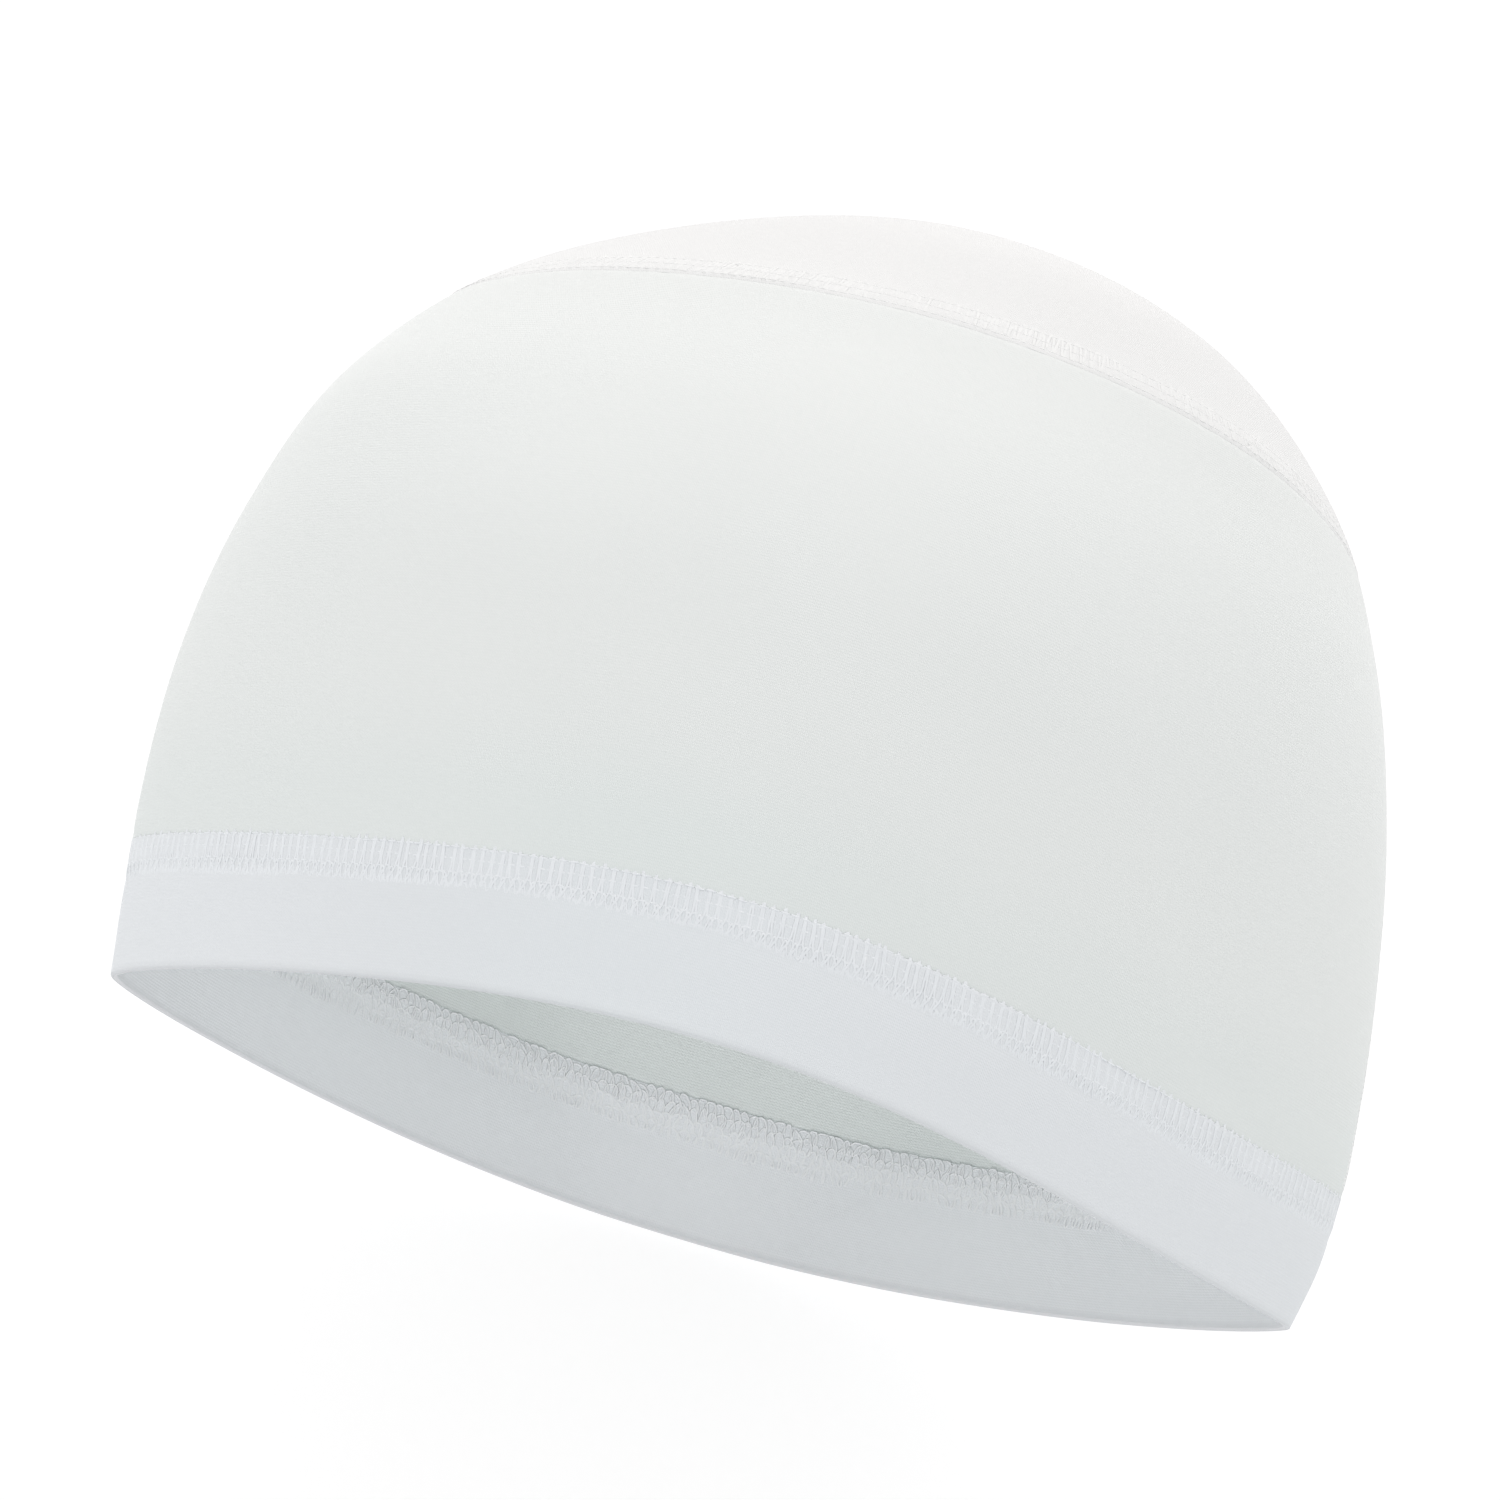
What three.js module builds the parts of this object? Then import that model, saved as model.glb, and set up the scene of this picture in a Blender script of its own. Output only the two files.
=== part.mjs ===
// A cooling cap: a close, brimless cap of thin stretch knit, lying on one of its sides with its mouth open.
// Millimetres, +Z up. X runs from the front of the cap (-X) to its back (+X), Y from the mouth (-Y) to the crown (+Y).
// The side that is up and the side it lies on are the cap's two ear sides.
import * as THREE from "three";

// ---- Sizes -----------------------------------------------------------------------------------------------------
const CLOTH = 1.0; // one layer of knit
const HEM_CLOTH = 1.6; // the hem is a strip folded double, so two layers
const GAP = 0.3; // left between neighbouring pieces of cloth at each seam
const CLOSING_GAP = 0.4; // left between the two ends of the side piece, at the middle of the back
const REST = 67; // the cap lies this far below its front-to-back middle line
const SOFTNESS = 3; // how gently the cloth rolls off the flat patch that it lies on
const PLACE = { x: 1.7, y: -78.9, z: REST }; // puts the middle of the footprint at X0 Y0 and the flat patch at Z0

// The shape of the cap, one row for each level from the folded edge (at 0) to the top of the crown (at 1).
// height: above the folded edge. front, back: where the outline ends, from the middle line of the mouth.
// up, down: how far the cloth stands off the middle plane on the upper side and on the side it lies on.
// front_pinch, back_pinch: 0 for a round end, towards 1 for an end pressed together like a lens.
const LEVELS = [
  { at: 0.0, height: 0.0, front: -100.5, back: 99.5, up: 73.0, down: 66.0, front_pinch: 0.7, back_pinch: 0.72 },
  { at: 0.06, height: 12.0, front: -102.1, back: 101.5, up: 74.0, down: 68.0, front_pinch: 0.68, back_pinch: 0.7 },
  { at: 0.12, height: 24.4, front: -103.8, back: 102.0, up: 75.0, down: 70.0, front_pinch: 0.65, back_pinch: 0.67 },
  { at: 0.19, height: 38.8, front: -105.1, back: 101.0, up: 76.0, down: 72.0, front_pinch: 0.59, back_pinch: 0.61 },
  { at: 0.29, height: 58.2, front: -105.1, back: 98.5, up: 76.5, down: 74.0, front_pinch: 0.49, back_pinch: 0.5 },
  { at: 0.42, height: 83.5, front: -101.4, back: 93.3, up: 75.0, down: 73.0, front_pinch: 0.32, back_pinch: 0.33 },
  { at: 0.56, height: 109.4, front: -92.0, back: 84.5, up: 68.0, down: 67.0, front_pinch: 0.17, back_pinch: 0.17 },
  { at: 0.7, height: 132.7, front: -71.3, back: 70.8, up: 54.5, down: 54.5, front_pinch: 0.06, back_pinch: 0.06 },
  { at: 0.84, height: 151.6, front: -35.4, back: 47.1, up: 34.5, down: 34.5, front_pinch: 0.0, back_pinch: 0.0 },
  { at: 0.93, height: 158.6, front: -13.2, back: 26.6, up: 17.0, down: 17.0, front_pinch: 0.0, back_pinch: 0.0 },
  { at: 1.0, height: 161.0, front: 6.6, back: 6.6, up: 0.0, down: 0.0, front_pinch: 0.0, back_pinch: 0.0 },
];

// Round the cap, one row for each eighth: 0 is the middle of the back, 90 the upper side, 180 the front.
// rise: how far the folded edge stands above its own plane there (below it where minus).
// hem: from the folded edge up to the seam that joins the hem to the side piece.
// seam: the level at which the oval crown piece is joined to the side piece.
const ROUND = [
  { degrees: 0, rise: -0.8, hem: 23.2, seam: 0.634 },
  { degrees: 45, rise: -3.2, hem: 22.9, seam: 0.673 },
  { degrees: 90, rise: 0.65, hem: 23.0, seam: 0.681 },
  { degrees: 135, rise: 0.35, hem: 22.0, seam: 0.663 },
  { degrees: 180, rise: 0.7, hem: 22.6, seam: 0.642 },
  { degrees: 225, rise: 0.9, hem: 23.6, seam: 0.651 },
  { degrees: 270, rise: -0.1, hem: 24.2, seam: 0.672 },
  { degrees: 315, rise: -0.3, hem: 24.2, seam: 0.655 },
];

// How finely each piece is faceted.
const FACETS = { around: 64, side_levels: 12, crown_rings: 6, hem_levels: 3, fold_turns: 3 };

// ---- Curves through the tables ---------------------------------------------------------------------------------
// A smooth curve through the rows; past the last row it goes on level ("level") or straight down through it ("through").
function curve(xs, ys, x, end) {
  const n = xs.length;
  const slope = (i) => (ys[i + 1] - ys[i]) / (xs[i + 1] - xs[i]);
  const inner = (i) => {
    const before = xs[i] - xs[i - 1];
    const after = xs[i + 1] - xs[i];
    return (slope(i - 1) * after + slope(i) * before) / (before + after);
  };
  const tangent = (i) => {
    if (i === 0) return 1.5 * slope(0) - 0.5 * inner(1);
    if (i < n - 1) return inner(i);
    if (end === "level") return 0;
    if (end === "through") return slope(n - 2);
    return 1.5 * slope(n - 2) - 0.5 * inner(n - 2);
  };
  let i = 0;
  while (i < n - 2 && x >= xs[i + 1]) i += 1;
  const h = xs[i + 1] - xs[i];
  const t = Math.min(1, Math.max(0, (x - xs[i]) / h));
  return (
    ys[i] * (1 + 2 * t) * (1 - t) ** 2 +
    h * tangent(i) * t * (1 - t) ** 2 +
    ys[i + 1] * t * t * (3 - 2 * t) +
    h * tangent(i + 1) * t * t * (t - 1)
  );
}

// A smooth closed curve round the cap through one column of ROUND.
function roundCurve(column, angle) {
  const n = ROUND.length;
  const step = 360 / n;
  const at = THREE.MathUtils.euclideanModulo(THREE.MathUtils.radToDeg(angle), 360) / step;
  const i = Math.floor(at) % n;
  const t = at - Math.floor(at);
  const v = (k) => ROUND[(k + n) % n][column];
  const m0 = (v(i + 1) - v(i - 1)) / 2;
  const m1 = (v(i + 2) - v(i)) / 2;
  return (
    v(i) * (1 + 2 * t) * (1 - t) ** 2 + m0 * t * (1 - t) ** 2 + v(i + 1) * t * t * (3 - 2 * t) + m1 * t * t * (t - 1)
  );
}

// ---- The outer face of the cap ---------------------------------------------------------------------------------
const AT = LEVELS.map((row) => row.at);
const column = (read) => LEVELS.map(read);
const COLUMNS = {
  height: column((row) => row.height),
  middle: column((row) => (row.front + row.back) / 2),
  half: column((row) => (row.back - row.front) / 2),
  up: column((row) => row.up),
  down: column((row) => row.down),
  frontPinch: column((row) => row.front_pinch),
  backPinch: column((row) => row.back_pinch),
};

// The cloth doesn't go below the surface that the cap lies on: it flattens there, with a soft roll round the patch.
function settle(z) {
  const over = z + REST;
  if (over >= SOFTNESS) return z;
  if (over <= -SOFTNESS) return -REST;
  return (over + SOFTNESS) ** 2 / (4 * SOFTNESS) - REST;
}

// A point of the outer face: angle round the cap, level from the folded edge to the top of the crown.
function face(angle, level) {
  const height = curve(AT, COLUMNS.height, level, "level");
  const middle = curve(AT, COLUMNS.middle, level, "level");
  const half = curve(AT, COLUMNS.half, level, "through");
  const up = curve(AT, COLUMNS.up, level, "through");
  const down = curve(AT, COLUMNS.down, level, "through");
  const c = Math.cos(angle);
  const s = Math.sin(angle);
  const pinch =
    (curve(AT, COLUMNS.backPinch, level, "level") * (1 + c)) / 2 +
    (curve(AT, COLUMNS.frontPinch, level, "level") * (1 - c)) / 2;
  const z = (s > 0 ? up : down) * s * (1 - pinch + pinch * Math.abs(s));
  const y = height + roundCurve("rise", angle) * (1 - level) ** 2;
  return new THREE.Vector3(middle + half * c + PLACE.x, y + PLACE.y, settle(z) + PLACE.z);
}

// The outward direction of the cloth at a point of the outer face.
function outward(angle, level) {
  const d = 1e-3;
  const low = Math.min(Math.max(level, d), 0.985);
  const along = face(angle + d, low).sub(face(angle - d, low));
  const rising = face(angle, low + d).sub(face(angle, low - d));
  return rising.cross(along).normalize();
}

// A point a given depth under the outer face.
function under(angle, level, depth) {
  return face(angle, level).addScaledVector(outward(angle, level), -depth);
}

// The level at a given height above the folded edge, found by halving.
function levelAbove(angle, height) {
  const edge = face(angle, 0).y;
  let low = 0;
  let high = 0.4;
  for (let k = 0; k < 40; k += 1) {
    const mid = (low + high) / 2;
    if (face(angle, mid).y - edge < height) low = mid;
    else high = mid;
  }
  return (low + high) / 2;
}

// ---- Closed bodies from grids ----------------------------------------------------------------------------------
// grid[i][j]: i round the cap, j across the cloth's own section. Both ways can close on themselves.
function skin(quads, grid, closedRound, closedSection) {
  const n = grid.length;
  const m = grid[0].length;
  for (let i = 0; i < (closedRound ? n : n - 1); i += 1)
    for (let j = 0; j < (closedSection ? m : m - 1); j += 1)
      quads.push([grid[i][j], grid[i][(j + 1) % m], grid[(i + 1) % n][(j + 1) % m], grid[(i + 1) % n][j]]);
}

function body(name, quads, colour, roughness) {
  const points = [];
  for (const [a, b, c, d] of quads)
    for (const [p, q, r] of [
      [a, b, c],
      [a, c, d],
    ]) {
      if (p === q || q === r || p === r) continue;
      for (const v of [p, q, r]) points.push(v.x, v.y, v.z);
    }
  const geometry = new THREE.BufferGeometry();
  geometry.setAttribute("position", new THREE.Float32BufferAttribute(points, 3));
  geometry.computeVertexNormals();
  const mesh = new THREE.Mesh(geometry, new THREE.MeshStandardMaterial({ color: colour, roughness, metalness: 0 }));
  mesh.name = name;
  return mesh;
}

const turn = (i) => (i / FACETS.around) * Math.PI * 2;
const seamLevel = (angle) => roundCurve("seam", angle);
const hemDepth = (angle) => roundCurve("hem", angle);
const SEAM_STEP = GAP / 2 / 190; // half the gap, as a share of the way from the folded edge to the top of the crown

// ---- The side piece: one shaped strip that goes round the head and closes at the middle of the back ------------
function sidePiece() {
  const grid = [];
  for (let i = 0; i <= FACETS.around; i += 1) {
    const angle = turn(i);
    const first = levelAbove(angle, hemDepth(angle) + GAP);
    const last = seamLevel(angle) - SEAM_STEP;
    const ring = [];
    const shift = i === 0 ? CLOSING_GAP / 2 : i === FACETS.around ? -CLOSING_GAP / 2 : 0;
    for (let j = 0; j <= FACETS.side_levels; j += 1)
      ring.push(face(angle, first + ((last - first) * j) / FACETS.side_levels));
    for (let j = FACETS.side_levels; j >= 0; j -= 1)
      ring.push(under(angle, first + ((last - first) * j) / FACETS.side_levels, CLOTH));
    for (const point of ring) point.z += shift;
    grid.push(ring);
  }
  const quads = [];
  skin(quads, grid, false, true);
  // The two ends of the strip, outer edge to inner edge.
  const m = grid[0].length;
  for (let j = 0; j < FACETS.side_levels; j += 1) {
    const start = grid[0];
    const stop = grid[FACETS.around];
    quads.push([start[j + 1], start[j], start[m - 1 - j], start[m - 2 - j]]);
    quads.push([stop[j], stop[j + 1], stop[m - 2 - j], stop[m - 1 - j]]);
  }
  return body("side_panel", quads, 0xe3e7e5, 0.78);
}

// ---- The crown piece: an oval let into the top of the side piece -----------------------------------------------
function crownPiece() {
  const top = face(0, 1);
  const below = top.clone();
  below.y -= CLOTH;
  const grid = [];
  for (let i = 0; i < FACETS.around; i += 1) {
    const angle = turn(i);
    const first = seamLevel(angle) + SEAM_STEP;
    const ring = [];
    for (let j = 0; j < FACETS.crown_rings; j += 1)
      ring.push(face(angle, first + ((1 - first) * j) / FACETS.crown_rings));
    ring.push(top, below);
    for (let j = FACETS.crown_rings - 1; j >= 0; j -= 1)
      ring.push(under(angle, first + ((1 - first) * j) / FACETS.crown_rings, CLOTH));
    grid.push(ring);
  }
  const quads = [];
  const n = grid.length;
  const half = FACETS.crown_rings;
  for (let i = 0; i < n; i += 1) {
    const a = grid[i];
    const b = grid[(i + 1) % n];
    const m = a.length;
    for (let j = 0; j < m; j += 1) {
      if (j === half) continue; // the step from the top of the cloth to its under face is a single line
      const k = (j + 1) % m;
      quads.push([a[j], a[k], b[k], b[j]]);
    }
  }
  return body("crown_panel", quads, 0xebeceb, 0.78);
}

// ---- The hem: a strip folded double, its fold at the mouth of the cap ------------------------------------------
function hem() {
  const r = HEM_CLOTH / 2;
  const grid = [];
  for (let i = 0; i < FACETS.around; i += 1) {
    const angle = turn(i);
    const top = hemDepth(angle);
    const section = [];
    for (let j = 0; j <= FACETS.hem_levels; j += 1)
      section.push({ height: top + ((r - top) * j) / FACETS.hem_levels, depth: 0 });
    for (let k = 1; k < FACETS.fold_turns; k += 1) {
      const bend = (k / FACETS.fold_turns) * Math.PI;
      section.push({ height: r - r * Math.sin(bend), depth: r - r * Math.cos(bend) });
    }
    for (let j = 0; j <= FACETS.hem_levels; j += 1)
      section.push({ height: r + ((top - r) * j) / FACETS.hem_levels, depth: HEM_CLOTH });
    grid.push(section.map(({ height, depth }) => under(angle, levelAbove(angle, height), depth)).reverse());
  }
  const quads = [];
  skin(quads, grid, true, true);
  return body("hem_band", quads, 0xe0e4e9, 0.75);
}

const cap = new THREE.Group();
cap.name = "cooling_cap";
cap.add(sidePiece(), crownPiece(), hem());

export default cap;
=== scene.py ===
import math

import bpy
import numpy as np
from mathutils import Matrix, Vector


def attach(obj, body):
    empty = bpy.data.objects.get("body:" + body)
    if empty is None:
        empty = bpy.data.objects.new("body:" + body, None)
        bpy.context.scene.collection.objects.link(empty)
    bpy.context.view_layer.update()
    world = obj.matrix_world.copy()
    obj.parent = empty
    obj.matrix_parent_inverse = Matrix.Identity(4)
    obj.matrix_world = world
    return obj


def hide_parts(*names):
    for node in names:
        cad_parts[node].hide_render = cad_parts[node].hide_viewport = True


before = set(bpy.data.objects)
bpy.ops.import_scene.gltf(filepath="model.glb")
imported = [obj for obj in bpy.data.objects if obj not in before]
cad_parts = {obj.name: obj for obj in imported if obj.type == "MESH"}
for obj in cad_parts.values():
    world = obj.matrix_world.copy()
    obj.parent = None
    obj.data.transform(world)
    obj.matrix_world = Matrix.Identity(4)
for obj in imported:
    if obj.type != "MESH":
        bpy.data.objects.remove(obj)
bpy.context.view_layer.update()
MM = 0.001
scene = bpy.context.scene

# =====================================================================================================================
# Camera: 75 degrees above the surface that the cap lies on, rolled so that the mouth runs down to the right
# =====================================================================================================================
def make_camera():
    target = np.array([-9.3, -11.46, 67.0])
    tilt, roll = math.radians(14.94), math.radians(16.3)
    back = np.array([0.0, -math.sin(tilt), math.cos(tilt)])
    right0 = np.cross([0.0, 1.0, 0.0], back)
    right0 /= np.linalg.norm(right0)
    up0 = np.cross(back, right0)
    right = right0 * math.cos(roll) + up0 * math.sin(roll)
    up = -right0 * math.sin(roll) + up0 * math.cos(roll)
    place = (target + 2000.0 * back) * MM
    data = bpy.data.cameras.new("camera")
    data.lens = 292.8
    data.sensor_width = 36.0
    data.sensor_fit = "AUTO"
    data.clip_start, data.clip_end = 0.05, 20.0
    cam = bpy.data.objects.new("camera", data)
    scene.collection.objects.link(cam)
    m = Matrix.Identity(4)
    for i in range(3):
        m[i][0], m[i][1], m[i][2], m[i][3] = right[i], up[i], back[i], place[i]
    cam.matrix_world = m
    scene.camera = cam


make_camera()

# =====================================================================================================================
# The form of the cap, in millimetres: the same tables as the CAD part
# =====================================================================================================================
# level from the folded edge (0) to the top of the crown (1); height above the folded edge; front and back ends;
# how far the cloth stands off the middle plane above and below; how lens-like the front and back ends are
LEVELS = np.array([
    # at    height  front   back    up     down   front_pinch back_pinch
    [0.00,   0.0, -100.5,  99.5,  73.0,  66.0,  0.70, 0.72],
    [0.06,  12.0, -102.1, 101.5,  74.0,  68.0,  0.68, 0.70],
    [0.12,  24.4, -103.8, 102.0,  75.0,  70.0,  0.65, 0.67],
    [0.19,  38.8, -105.1, 101.0,  76.0,  72.0,  0.59, 0.61],
    [0.29,  58.2, -105.1,  98.5,  76.5,  74.0,  0.49, 0.50],
    [0.42,  83.5, -101.4,  93.3,  75.0,  73.0,  0.32, 0.33],
    [0.56, 109.4,  -92.0,  84.5,  68.0,  67.0,  0.17, 0.17],
    [0.70, 132.7,  -71.3,  70.8,  54.5,  54.5,  0.06, 0.06],
    [0.84, 151.6,  -35.4,  47.1,  34.5,  34.5,  0.00, 0.00],
    [0.93, 158.6,  -13.2,  26.6,  17.0,  17.0,  0.00, 0.00],
    [1.00, 161.0,    6.6,   6.6,   0.0,   0.0,  0.00, 0.00],
])
AT, HEIGHT, FRONT, BACK, UP, DOWN, FRONT_PINCH, BACK_PINCH = LEVELS.T
RISE = np.array([-0.8, -3.2, 0.65, 0.35, 0.7, 0.9, -0.1, -0.3])  # of the folded edge, for each eighth round the cap
SEAM = np.array([0.634, 0.673, 0.681, 0.663, 0.642, 0.651, 0.672, 0.655])  # level of the crown seam, likewise
HEM = np.array([23.2, 22.9, 23.0, 22.0, 22.6, 23.6, 24.2, 24.2])  # depth of the hem, likewise
REST, SOFTNESS = 67.0, 3.0
PLACE = np.array([1.7, -78.9, REST])
HEM_CLOTH = 1.45
CLOTH = 0.9
PLY = 0.69
FOLD, FOLD_PLY = 1.15, 0.54  # thickness of the pressed fold at the mouth, and of each ply there
SEWN, SEWN_PLY = 1.25, 0.59  # the same at the sewn edge
CORNER = 0.05  # rounding of a cut edge
CLOSE = 0.008  # half the gap between two cut edges that meet
TAU = 2 * math.pi


def tangents(ys, end):
    h = np.diff(AT)
    s = np.diff(ys) / h
    m = np.empty(len(ys))
    m[1:-1] = (s[:-1] * h[1:] + s[1:] * h[:-1]) / (h[:-1] + h[1:])
    m[0] = 1.5 * s[0] - 0.5 * m[1]
    m[-1] = 0.0 if end == "level" else s[-1]
    return m


def curve(ys, x, end):
    m = tangents(ys, end)
    i = np.clip(np.searchsorted(AT, x, side="right") - 1, 0, len(AT) - 2)
    h = AT[i + 1] - AT[i]
    t = np.clip((x - AT[i]) / h, 0, 1)
    return (
        ys[i] * (1 + 2 * t) * (1 - t) ** 2
        + h * m[i] * t * (1 - t) ** 2
        + ys[i + 1] * t * t * (3 - 2 * t)
        + h * m[i + 1] * t * t * (t - 1)
    )


def round_curve(values, angle):
    n = len(values)
    at = np.mod(angle, TAU) / TAU * n
    i = np.floor(at).astype(int) % n
    t = at - np.floor(at)

    def v(k):
        return values[(k + n) % n]

    m0, m1 = (v(i + 1) - v(i - 1)) / 2, (v(i + 2) - v(i)) / 2
    return (
        v(i) * (1 + 2 * t) * (1 - t) ** 2 + m0 * t * (1 - t) ** 2 + v(i + 1) * t * t * (3 - 2 * t) + m1 * t * t * (t - 1)
    )


def face(angle, level):
    """The outer face of the cloth, before stitching and folds."""
    a, l = np.broadcast_arrays(np.asarray(angle, float), np.asarray(level, float))
    height = curve(HEIGHT, l, "level")
    middle = curve((FRONT + BACK) / 2, l, "level")
    half = curve((BACK - FRONT) / 2, l, "through")
    up = curve(UP, l, "through")
    down = curve(DOWN, l, "through")
    c, s = np.cos(a), np.sin(a)
    pinch = curve(BACK_PINCH, l, "level") * (1 + c) / 2 + curve(FRONT_PINCH, l, "level") * (1 - c) / 2
    z = np.where(s > 0, up, down) * s * (1 - pinch + pinch * np.abs(s))
    y = height + round_curve(RISE, a) * (1 - l) ** 2
    over = z + REST
    z = np.where(over >= SOFTNESS, z, np.where(over <= -SOFTNESS, -REST, (over + SOFTNESS) ** 2 / (4 * SOFTNESS) - REST))
    return np.stack([middle + half * c + PLACE[0], y + PLACE[1], z + PLACE[2]], -1)


def outward(angle, level):
    d = 1e-3
    l = np.clip(level, d, 0.985)
    n = np.cross(face(angle, l + d) - face(angle, l - d), face(angle + d, l) - face(angle - d, l))
    return n / np.linalg.norm(n, axis=-1, keepdims=True)


# ---- Lengths along the cloth: how far each level is from the folded edge, for every angle ----
GRID_A = np.linspace(0, TAU, 721)
GRID_L = np.linspace(0, 1, 801)
_p = face(GRID_A[:, None], GRID_L[None, :])
ARC = np.concatenate(
    [np.zeros((721, 1)), np.cumsum(np.linalg.norm(np.diff(_p, axis=1), axis=-1), axis=1)], axis=1
)  # [angle, level] -> mm from the folded edge
ARC_HEM = np.array([np.interp(v, _p[i, :300, 1] - _p[i, 0, 1], ARC[i, :300]) for i, v in enumerate(round_curve(HEM, GRID_A))])
ARC_SEAM = np.array([np.interp(v, GRID_L, ARC[i]) for i, v in enumerate(round_curve(SEAM, GRID_A))])
ARC_TOP = ARC[:, -1]
STEP_S = 0.25
_longest = float(ARC_TOP.max())
S_ROWS = np.arange(0, _longest + STEP_S, STEP_S)
LEVEL_AT = np.array([np.interp(S_ROWS, ARC[i], GRID_L) for i in range(721)])  # [angle, s] -> level


def along_angle(values, angle):
    return np.interp(np.mod(angle, TAU), GRID_A, values)


def level_at(angle, s):
    """The level at s millimetres of cloth above the folded edge."""
    a, s = np.broadcast_arrays(np.mod(np.asarray(angle, float), TAU), np.asarray(s, float))
    u = a / TAU * 720
    i = np.clip(np.floor(u).astype(int), 0, 719)
    fu = u - i
    v = np.clip(s / STEP_S, 0, len(S_ROWS) - 1.001)
    j = np.floor(v).astype(int)
    fv = v - j
    return (
        LEVEL_AT[i, j] * (1 - fu) * (1 - fv)
        + LEVEL_AT[i + 1, j] * fu * (1 - fv)
        + LEVEL_AT[i, j + 1] * (1 - fu) * fv
        + LEVEL_AT[i + 1, j + 1] * fu * fv
    )


class Ring:
    """Even spacing round the cap at one height of cloth."""

    def __init__(self, s):
        a = np.linspace(0, TAU, 2881)
        s = along_angle(s, a) if np.ndim(s) else np.full(len(a), float(s))
        p = face(a, level_at(a, s))
        self.a = a
        self.d = np.concatenate([[0], np.cumsum(np.linalg.norm(np.diff(p, axis=0), axis=1))])
        self.length = float(self.d[-1])

    def angle(self, d):
        turns = np.floor(np.asarray(d) / self.length)
        return np.interp(np.asarray(d) - turns * self.length, self.d, self.a) + turns * TAU

    def distance(self, a):
        turns = np.floor(np.asarray(a) / TAU)
        return np.interp(np.asarray(a) - turns * TAU, self.a, self.d) + turns * self.length


RIM = Ring(ARC_HEM)
CROWN_RING = Ring(ARC_SEAM)

# =====================================================================================================================
# Small relief of the cloth, millimetres along its outward direction
# =====================================================================================================================
def waves(u, period_count, seed, harmonics):
    """A smooth closed random line, u in turns."""
    rng = np.random.default_rng(seed)
    out = np.zeros_like(u)
    total = 0.0
    for k in harmonics:
        amp = rng.uniform(0.5, 1.0) / math.sqrt(len(harmonics))
        out = out + amp * np.sin(TAU * (k * period_count * u + rng.random()))
        total += amp
    return out


def relief_side(angle, s):
    """Side piece: full just above the hem seam, drawn in at both seams, faint puckers and very soft waves."""
    d_hem = s - along_angle(ARC_HEM, angle)
    d_seam = along_angle(ARC_SEAM, angle) - s
    u = RIM.distance(angle) / RIM.length
    out = -0.10 * np.exp(-((d_hem / 1.8) ** 2)) + 0.04 * np.exp(-(((d_hem - 5.5) / 3.5) ** 2))
    pucker = waves(u, 1, 11, (53, 61, 74, 83, 97))
    out += 0.040 * pucker * np.exp(-np.clip(d_hem, 0, None) / 6.0)
    pucker = waves(u, 1, 12, (47, 55, 68, 79))
    out += 0.020 * pucker * np.exp(-np.clip(d_seam, 0, None) / 5.0)
    # very soft waves of relaxed cloth, up the cap and round it
    soft = 0.16 * waves(u + 0.0006 * s, 1, 13, (4, 7, 9)) * np.sin(np.clip(s / 150, 0, 1) * math.pi)
    soft += 0.10 * waves(u - 0.0011 * s, 1, 14, (11, 13)) * np.exp(-(((s - 52) / 24) ** 2))
    near = np.clip(d_seam / 14, 0, 1)
    out += soft * near * near * (3 - 2 * near)
    # the slight dent above the hem seam towards the back
    turn = np.mod(np.degrees(angle) + 180, 360) - 180
    out += -0.45 * np.exp(-(((turn - 41) / 5.0) ** 2) - (((d_hem - 6.5) / 5.5) ** 2))
    return out


def relief_crown(angle, t):
    """Crown piece, t millimetres above its seam: the turned edge stands a little proud, with a rounded lip."""
    u = CROWN_RING.distance(angle) / CROWN_RING.length
    step = 0.09 * np.clip(1 + 0.9 * waves(u, 1, 23, (5, 9, 14, 22)), 0.2, 2.0)
    out = step * (1 - np.exp(-((np.clip(t, 0, None) / 0.75) ** 2))) * np.exp(-((t / 5.6) ** 4)) - 0.01
    out += 0.02 * waves(u, 1, 21, (41, 52, 63, 77)) * np.exp(-np.clip(t, 0, None) / 5.0)
    out += 0.12 * waves(u, 1, 22, (3, 5)) * np.clip(t / 30, 0, 1) * np.clip(1 - t / 70, 0, 1)
    return out


def relief_hem(angle, s):
    """Hem: two layers, a little full below the stitching, pressed flat under it, rolled at the fold."""
    u = RIM.distance(angle) / RIM.length
    out = 0.08 * np.exp(-(((s - 10.0) / 4.6) ** 2))
    out += -0.09 * np.exp(-(((s - 16.6) / 1.2) ** 2)) - 0.04 * np.exp(-(((s - 22.0) / 3.0) ** 2))
    out += 0.06 * waves(u, 1, 31, (29, 37, 46, 58)) * np.exp(-(((s - 12.5) / 3.5) ** 2))
    out += 0.09 * waves(u, 1, 32, (7, 11, 17)) * np.exp(-(((s - 3.0) / 6.0) ** 2))
    return out


def above_floor(p, least=0.0):
    p = p.copy()
    p[..., 2] = np.maximum(p[..., 2], least)
    return p


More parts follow.
